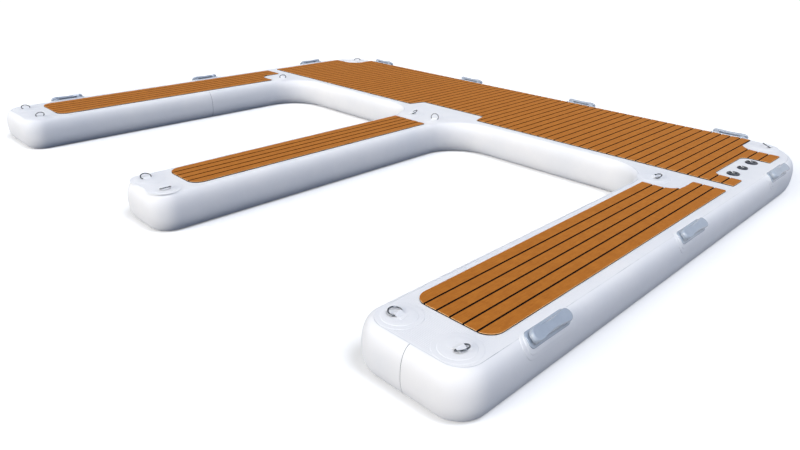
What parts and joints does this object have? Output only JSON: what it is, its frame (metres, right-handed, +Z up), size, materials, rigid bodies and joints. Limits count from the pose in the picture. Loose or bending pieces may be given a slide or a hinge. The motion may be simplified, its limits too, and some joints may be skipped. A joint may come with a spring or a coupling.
{
  "type": "inflatable jet ski dock",
  "caption": "E-shaped drop-stitch float with teak-look deck pads, two bays to ride a jet ski into, carry handles, mooring rings and flush inflation valves.",
  "frame": {"origin": "middle of the outline, on the ground under the float", "axes": "+X across the fingers towards the side with the valves, +Y from the finger tips to the back of the platform, +Z up"},
  "size_m": [4.2668, 3.2844, 0.2445],
  "materials": {
    "white_vinyl": "satin PVC-coated fabric",
    "teak_foam": "matte brushed EVA foam with dark routed lines",
    "grey_moulding": "satin moulded PVC",
    "slate_moulding": "satin moulded nylon",
    "white_moulding": "semi-gloss moulded plastic",
    "stainless_steel": "polished stainless wire"
  },
  "bodies": {
    "float": {"handle_back_1": "grey_moulding", "handle_back_2": "grey_moulding", "handle_back_3": "grey_moulding", "handle_back_4": "grey_moulding", "handle_left_1": "grey_moulding", "handle_left_2": "grey_moulding", "handle_left_3": "grey_moulding", "handle_right_1": "grey_moulding", "handle_right_2": "grey_moulding", "handle_right_3": "grey_moulding", "hull_panel": "white_vinyl", "inflation_valve_back_body": "slate_moulding", "inflation_valve_back_nut": "slate_moulding", "inflation_valve_back_tether": "white_moulding", "inflation_valve_front_body": "slate_moulding", "inflation_valve_front_nut": "slate_moulding", "inflation_valve_front_tether": "white_moulding", "pad_centre_finger": "teak_foam", "pad_left_finger": "teak_foam", "pad_platform": "teak_foam", "pad_right_finger": "teak_foam", "relief_valve_body": "slate_moulding", "relief_valve_nut": "slate_moulding", "relief_valve_tether": "white_moulding", "ring_patch_centre_root_left": "white_vinyl", "ring_patch_centre_root_right": "white_vinyl", "ring_patch_centre_tip_left": "white_vinyl", "ring_patch_centre_tip_right": "white_vinyl", "ring_patch_left_corner": "white_vinyl", "ring_patch_left_root": "white_vinyl", "ring_patch_left_tip_inner": "white_vinyl", "ring_patch_left_tip_outer": "white_vinyl", "ring_patch_right_corner": "white_vinyl", "ring_patch_right_root": "white_vinyl", "ring_patch_right_tip_inner": "white_vinyl", "ring_patch_right_tip_outer": "white_vinyl", "side_band_inner": "white_vinyl", "side_band_outer": "white_vinyl"},
    "ring_right_tip_inner": {"d_ring_right_tip_inner": "stainless_steel"},
    "ring_right_tip_outer": {"d_ring_right_tip_outer": "stainless_steel"},
    "ring_left_tip_inner": {"d_ring_left_tip_inner": "stainless_steel"},
    "ring_left_tip_outer": {"d_ring_left_tip_outer": "stainless_steel"},
    "ring_centre_tip_left": {"d_ring_centre_tip_left": "stainless_steel"},
    "ring_centre_tip_right": {"d_ring_centre_tip_right": "stainless_steel"},
    "ring_right_root": {"d_ring_right_root": "stainless_steel"},
    "ring_left_root": {"d_ring_left_root": "stainless_steel"},
    "ring_centre_root_left": {"d_ring_centre_root_left": "stainless_steel"},
    "ring_centre_root_right": {"d_ring_centre_root_right": "stainless_steel"},
    "ring_right_corner": {"d_ring_right_corner": "stainless_steel"},
    "ring_left_corner": {"d_ring_left_corner": "stainless_steel"},
    "inflation_valve_front_cap": {"inflation_valve_front_cap": "white_moulding"},
    "inflation_valve_front_stem": {"inflation_valve_front_stem": "white_moulding", "inflation_valve_front_spring": "stainless_steel"},
    "relief_valve_cap": {"relief_valve_cap": "white_moulding"},
    "relief_valve_poppet": {"relief_valve_poppet": "white_moulding", "relief_valve_spring": "stainless_steel"},
    "inflation_valve_back_cap": {"inflation_valve_back_cap": "white_moulding"},
    "inflation_valve_back_stem": {"inflation_valve_back_stem": "white_moulding", "inflation_valve_back_spring": "stainless_steel"}
  },
  "joints": [
    {"name": "ring_right_tip_inner_hinge", "type": "hinge", "parent": "float", "child": "ring_right_tip_inner", "pos_m": [1.71, -1.51019, 0.2071], "axis": [-0.1392, 0.9903, 0], "range_deg": [-10, 166]},
    {"name": "ring_right_tip_outer_hinge", "type": "hinge", "parent": "float", "child": "ring_right_tip_outer", "pos_m": [1.984, -1.51019, 0.2071], "axis": [0, -1, 0], "range_deg": [-18, 158]},
    {"name": "ring_left_tip_inner_hinge", "type": "hinge", "parent": "float", "child": "ring_left_tip_inner", "pos_m": [-1.71, -1.51019, 0.2071], "axis": [-0.1392, -0.9903, 0], "range_deg": [-48, 128]},
    {"name": "ring_left_tip_outer_hinge", "type": "hinge", "parent": "float", "child": "ring_left_tip_outer", "pos_m": [-1.984, -1.51019, 0.2071], "axis": [0, 1, 0], "range_deg": [-22, 154]},
    {"name": "ring_centre_tip_left_hinge", "type": "hinge", "parent": "float", "child": "ring_centre_tip_left", "pos_m": [-0.098, -1.53119, 0.2071], "axis": [0.0523, 0.9986, 0], "range_deg": [-20, 156]},
    {"name": "ring_centre_tip_right_hinge", "type": "hinge", "parent": "float", "child": "ring_centre_tip_right", "pos_m": [0.098, -1.53119, 0.2071], "axis": [-0.0523, -0.9986, 0], "range_deg": [-18, 158]},
    {"name": "ring_right_root_hinge", "type": "hinge", "parent": "float", "child": "ring_right_root", "pos_m": [1.682, 0.44831, 0.2071], "axis": [0.6157, -0.788, 0], "range_deg": [-20, 156]},
    {"name": "ring_left_root_hinge", "type": "hinge", "parent": "float", "child": "ring_left_root", "pos_m": [-1.682, 0.44831, 0.2071], "axis": [0.6157, 0.788, 0], "range_deg": [-24, 152]},
    {"name": "ring_centre_root_left_hinge", "type": "hinge", "parent": "float", "child": "ring_centre_root_left", "pos_m": [-0.105, 0.43331, 0.2071], "axis": [0.7193, -0.6947, 0], "range_deg": [-28, 148]},
    {"name": "ring_centre_root_right_hinge", "type": "hinge", "parent": "float", "child": "ring_centre_root_right", "pos_m": [0.105, 0.43331, 0.2071], "axis": [0.9397, 0.342, 0], "range_deg": [-80, 96]},
    {"name": "ring_right_corner_hinge", "type": "hinge", "parent": "float", "child": "ring_right_corner", "pos_m": [1.905, 1.50131, 0.2071], "axis": [-0.6691, 0.7431, 0], "range_deg": [-28, 148]},
    {"name": "ring_left_corner_hinge", "type": "hinge", "parent": "float", "child": "ring_left_corner", "pos_m": [-1.905, 1.50131, 0.2071], "axis": [-0.6691, -0.7431, 0], "range_deg": [-28, 148]},
    {"name": "inflation_valve_front_cap_twist", "type": "hinge", "parent": "float", "child": "inflation_valve_front_cap", "pos_m": [1.946, 0.8313, 0.2033], "axis": [0, 0, 1], "range_deg": [0, 60]},
    {"name": "inflation_valve_front_stem_push", "type": "slide", "parent": "float", "child": "inflation_valve_front_stem", "axis": [0, 0, 1], "range_m": [-0.008, 0], "stiffness_N_per_m": 500, "springref_m": 0.006, "deforming": ["inflation_valve_front_spring"]},
    {"name": "relief_valve_cap_twist", "type": "hinge", "parent": "float", "child": "relief_valve_cap", "pos_m": [1.946, 0.96828, 0.2033], "axis": [0, 0, 1], "range_deg": [0, 60]},
    {"name": "relief_valve_poppet_lift", "type": "slide", "parent": "float", "child": "relief_valve_poppet", "axis": [0, 0, 1], "range_m": [0, 0.003], "stiffness_N_per_m": 3000, "springref_m": -0.012, "deforming": ["relief_valve_spring"]},
    {"name": "inflation_valve_back_cap_twist", "type": "hinge", "parent": "float", "child": "inflation_valve_back_cap", "pos_m": [1.946, 1.10526, 0.2033], "axis": [0, 0, 1], "range_deg": [0, 60]},
    {"name": "inflation_valve_back_stem_push", "type": "slide", "parent": "float", "child": "inflation_valve_back_stem", "axis": [0, 0, 1], "range_m": [-0.008, 0], "stiffness_N_per_m": 500, "springref_m": 0.006, "deforming": ["inflation_valve_back_spring"]}
  ]
}
